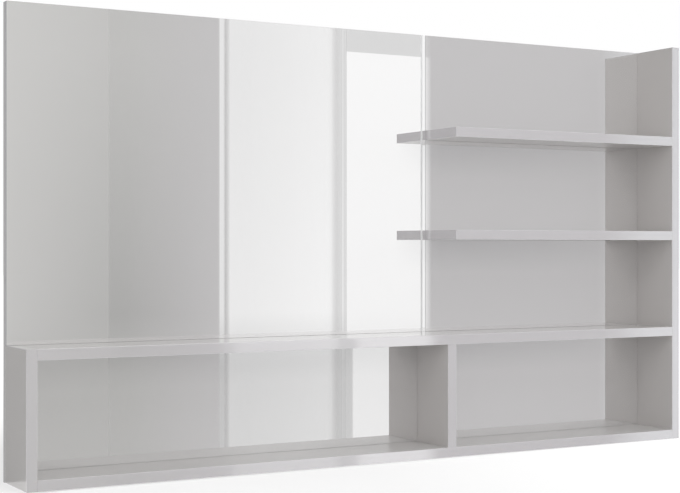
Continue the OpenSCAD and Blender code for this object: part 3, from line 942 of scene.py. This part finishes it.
def end_tree(tree, ports, piece, material):
    """Sets the piece on each point, its own +Z along the point's aim, and finishes the tree."""
    aim = put(tree, "GeometryNodeInputNamedAttribute", {"Name": "aim"}, data_type="FLOAT_VECTOR")
    turn = put(tree, "FunctionNodeAlignRotationToVector", {"Vector": aim.outputs[0]}, axis="Z")
    copies = put(tree, "GeometryNodeInstanceOnPoints",
                 {"Points": ports["Geometry"], "Instance": piece, "Rotation": turn.outputs[0]})
    real = put(tree, "GeometryNodeRealizeInstances", {"Geometry": copies.outputs[0]})
    dressed = put(tree, "GeometryNodeSetMaterial",
                  {"Geometry": real.outputs[0], "Material": material})
    tree.links.new(dressed.outputs[0], tree.nodes.new("NodeGroupOutput").inputs[0])


print("shapes for trees:", [tool.__name__ for tool in (cone, lifted, lowered, joined)])

# %% From points to a finished piece
SHARP_FROM = math.radians(35)


def grow(name, tree, places, sizes, node_name):
    """Runs a tree on (point, aim) pairs and keeps the result as a plain mesh."""
    mesh = bpy.data.meshes.new(name)
    mesh.from_pydata([point for point, aim in places], [], [])
    aims = mesh.attributes.new("aim", "FLOAT_VECTOR", "POINT")
    for number, (point, aim) in enumerate(places):
        aims.data[number].vector = aim
    piece = bpy.data.objects.new(name, mesh)
    bpy.context.scene.collection.objects.link(piece)
    modifier = piece.modifiers.new(name, "NODES")
    modifier.node_group = tree
    for socket in tree.interface.items_tree:
        if socket.in_out == "INPUT" and socket.name in sizes:
            modifier[socket.identifier] = sizes[socket.name]
    evaluated = piece.evaluated_get(bpy.context.evaluated_depsgraph_get())
    result = bpy.data.meshes.new_from_object(evaluated)
    piece.modifiers.remove(modifier)
    piece.data = result
    result.shade_smooth()
    result.set_sharp_from_angle(angle=SHARP_FROM)
    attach(piece, "root")
    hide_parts(node_name)
    print(name, "copies:", len(places), "faces:", len(result.polygons))


print("edges sharper than", round(math.degrees(SHARP_FROM)), "degrees stay crisp")

# %% [markdown]
# ### Countersunk screws
#
# A furniture screw has a countersunk head with a cross recess, a shank and a rolled thread. One
# could be modelled by hand and copied, but the two kinds differ in all their sizes, and a tree
# takes sizes as inputs. The head and the point are cones, the recess is cut by two crossed wedges,
# and the thread is a small three-sided profile that follows a spiral. The screws go in from the
# rear, so only the heads show, but each is whole.

# %% Head of a screw
SCREW_SIZES = {"Head": 8 * MM, "Shank": 4 * MM, "Length": 45 * MM, "Pitch": 1.8 * MM}
ROUND = 28
WEDGE_SIDES = 4
CORE_SHARE = 0.38
RECESS_WIDTH_SHARE = 0.27
RECESS_DEPTH_SHARE = 0.3
RECESS_FOOT_SHARE = 0.3
RECESS_OVER = 1.2
BLADE_SHARE = 0.22

screw_tree, ports = new_tree("countersunk screw", SCREW_SIZES)
head_r = sums(screw_tree, "MULTIPLY", ports["Head"], 0.5)
core_r = sums(screw_tree, "MULTIPLY", ports["Shank"], CORE_SHARE)
head_h = sums(screw_tree, "SUBTRACT", head_r, core_r)
plain_head = lowered(screw_tree, cone(screw_tree, ROUND, head_r, core_r, head_h), head_h)

recess_r = sums(screw_tree, "MULTIPLY", ports["Head"], RECESS_WIDTH_SHARE)
recess_foot = sums(screw_tree, "MULTIPLY", recess_r, RECESS_FOOT_SHARE)
recess_h = sums(screw_tree, "MULTIPLY", ports["Head"], RECESS_DEPTH_SHARE)
wedge_h = sums(screw_tree, "MULTIPLY", recess_h, RECESS_OVER)
wedge = cone(screw_tree, WEDGE_SIDES, recess_r, recess_foot, wedge_h)
sunk_wedge = lowered(screw_tree, wedge, recess_h)
blades = [
    put(screw_tree, "GeometryNodeTransform", {"Geometry": sunk_wedge, "Scale": scale}).outputs[0]
    for scale in ((1, BLADE_SHARE, 1), (BLADE_SHARE, 1, 1))
]
head = plain_head
for blade in blades:
    less = put(screw_tree, "GeometryNodeMeshBoolean", {"Mesh 1": head, "Mesh 2": blade},
               operation="DIFFERENCE", solver="EXACT")
    head = less.outputs["Mesh"]
print("head nodes:", len(screw_tree.nodes))

# %% Shank, point and thread
RIDGE_SHARE = 0.12
RIDGE_SIDES = 3
TURN_STEPS = 16

point_h = ports["Shank"]
past_head = sums(screw_tree, "SUBTRACT", ports["Length"], head_h)
straight = sums(screw_tree, "SUBTRACT", past_head, point_h)
below_head = sums(screw_tree, "ADD", head_h, straight)
spiral = put(screw_tree, "GeometryNodeCurveSpiral", {
    "Resolution": TURN_STEPS, "Rotations": sums(screw_tree, "DIVIDE", straight, ports["Pitch"]),
    "Start Radius": core_r, "End Radius": core_r, "Height": straight,
})
ridge_r = sums(screw_tree, "MULTIPLY", ports["Shank"], RIDGE_SHARE)
ridge = put(screw_tree, "GeometryNodeCurvePrimitiveCircle",
            {"Resolution": RIDGE_SIDES, "Radius": ridge_r})
thread = put(screw_tree, "GeometryNodeCurveToMesh", {
    "Curve": spiral.outputs[0], "Profile Curve": ridge.outputs[0], "Fill Caps": True,
})
shank = joined(screw_tree, cone(screw_tree, ROUND, core_r, core_r, straight), thread.outputs[0])
tip = cone(screw_tree, ROUND, core_r, 0.0, point_h)
screw = joined(screw_tree, head, lowered(screw_tree, shank, below_head),
               lowered(screw_tree, tip, ports["Length"]))
end_tree(screw_tree, ports, screw, zinc_plate)
print("screw nodes:", len(screw_tree.nodes))

# %% Set the screws
TO_THE_REAR = Vector((0, 1, 0))


def set_screws(name, node_name, shank, pitch):
    """A screw in every place of a node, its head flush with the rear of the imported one."""
    parts = loose_parts(node_name)
    places = [
        (Vector(((low.x + high.x) / 2, high.y, (low.z + high.z) / 2)), TO_THE_REAR)
        for low, high in parts
    ]
    low, high = parts[0]
    sizes = {"Head": high.x - low.x, "Shank": shank, "Length": high.y - low.y, "Pitch": pitch}
    grow(name, screw_tree, places, sizes, node_name)


set_screws("board_screws", "back_screws", shank=4 * MM, pitch=1.8 * MM)
set_screws("plate_screws", "hanger_screws", shank=3.5 * MM, pitch=1.4 * MM)

# %% [markdown]
# ### Fluted dowels
#
# A beech dowel has fine flutes along its length, which let air and glue out of the bore, and
# chamfered ends. A cylinder could have its flutes cut one by one. Sweeping a wavy circle along a
# line makes them all at once, and the tree narrows the line at both ends. The grain of the wood
# runs along the dowel, so dowels along different axes need finishes and trees of their own.

# %% Beech
GRAIN_SIZE = 1.6 * MM
GRAIN_DEPTH = 0.03 * MM
GRAIN_DRAWN_OUT = 0.08


def beech_finish(long_axis):
    """Beech with its grain along an axis."""
    material, shader = finish("beech along " + "xyz"[long_axis], Roughness=0.6)
    stretch = [GRAIN_DRAWN_OUT if axis == long_axis else 1 for axis in range(3)]
    grain = clouds(material, GRAIN_SIZE, detail=4.0, stretch=stretch)
    tint = blend(material, grain, paint(186, 148, 106), paint(217, 186, 144))
    join(material, tint, shader.inputs["Base Color"])
    relief(material, shader, grain, GRAIN_DEPTH)
    return material


BEECH = {axis: beech_finish(axis) for axis in (0, 2)}
print("beech finishes:", len(BEECH))

# %% Tree for a dowel
DOWEL_SIZES = {"Diameter": 8 * MM, "Length": 30 * MM}
FLUTES = 20
STEPS_PER_FLUTE = 3
FLUTE_DEPTH_SHARE = 0.07
DOWEL_STEPS = 31
CHAMFER = 1.5 * MM
CHAMFER_TO = 0.8


def wavy_circle(tree, radius):
    """A circle with every third of its points drawn in, for the flutes."""
    circle = put(tree, "GeometryNodeCurvePrimitiveCircle",
                 {"Resolution": STEPS_PER_FLUTE * FLUTES, "Radius": radius}).outputs[0]
    index = tree.nodes.new("GeometryNodeInputIndex").outputs[0]
    step = sums(tree, "MODULO", index, float(STEPS_PER_FLUTE))
    in_flute = sums(tree, "LESS_THAN", step, 0.5)
    squeeze = sums(tree, "SUBTRACT", 1.0, sums(tree, "MULTIPLY", in_flute, FLUTE_DEPTH_SHARE))
    place = tree.nodes.new("GeometryNodeInputPosition").outputs[0]
    inward = put(tree, "ShaderNodeVectorMath", {0: place, "Scale": squeeze}, operation="SCALE")
    return put(tree, "GeometryNodeSetPosition",
               {"Geometry": circle, "Position": inward.outputs[0]}).outputs[0]


def dowel_tree(name, material):
    """A fluted dowel that stands round its own origin."""
    tree, ports = new_tree(name, DOWEL_SIZES)
    ends = []
    for half in (-0.5, 0.5):
        end_z = sums(tree, "MULTIPLY", ports["Length"], half)
        ends.append(put(tree, "ShaderNodeCombineXYZ", {"Z": end_z}).outputs[0])
    line = put(tree, "GeometryNodeCurvePrimitiveLine", {"Start": ends[0], "End": ends[1]})
    fine = put(tree, "GeometryNodeResampleCurve", {"Curve": line.outputs[0], "Count": DOWEL_STEPS})
    along = tree.nodes.new("GeometryNodeSplineParameter").outputs["Factor"]
    to_end = sums(tree, "MINIMUM", along, sums(tree, "SUBTRACT", 1.0, along))
    narrow = put(tree, "ShaderNodeMapRange", {
        "Value": sums(tree, "MULTIPLY", to_end, ports["Length"]),
        "From Min": 0.0, "From Max": CHAMFER, "To Min": CHAMFER_TO, "To Max": 1.0,
    }).outputs[0]
    sized = put(tree, "GeometryNodeSetCurveRadius", {"Curve": fine.outputs[0], "Radius": narrow})
    body = put(tree, "GeometryNodeCurveToMesh", {
        "Curve": sized.outputs[0],
        "Profile Curve": wavy_circle(tree, sums(tree, "MULTIPLY", ports["Diameter"], 0.5)),
        "Fill Caps": True,
    })
    end_tree(tree, ports, body.outputs[0], material)
    return tree


print("flutes on a dowel:", FLUTES)

# %% Set the dowels
for axis, material in BEECH.items():
    tree = dowel_tree("dowel along " + "xyz"[axis], material)
    places = []
    for low, high in loose_parts("dowels"):
        spans = list(high - low)
        if spans.index(max(spans)) == axis:
            aim = [float(i == axis) for i in range(3)]
            places.append(((low + high) / 2, aim))
            sizes = {"Diameter": min(spans), "Length": max(spans)}
    grow("dowels_along_" + "xyz"[axis], tree, places, sizes, "dowels")
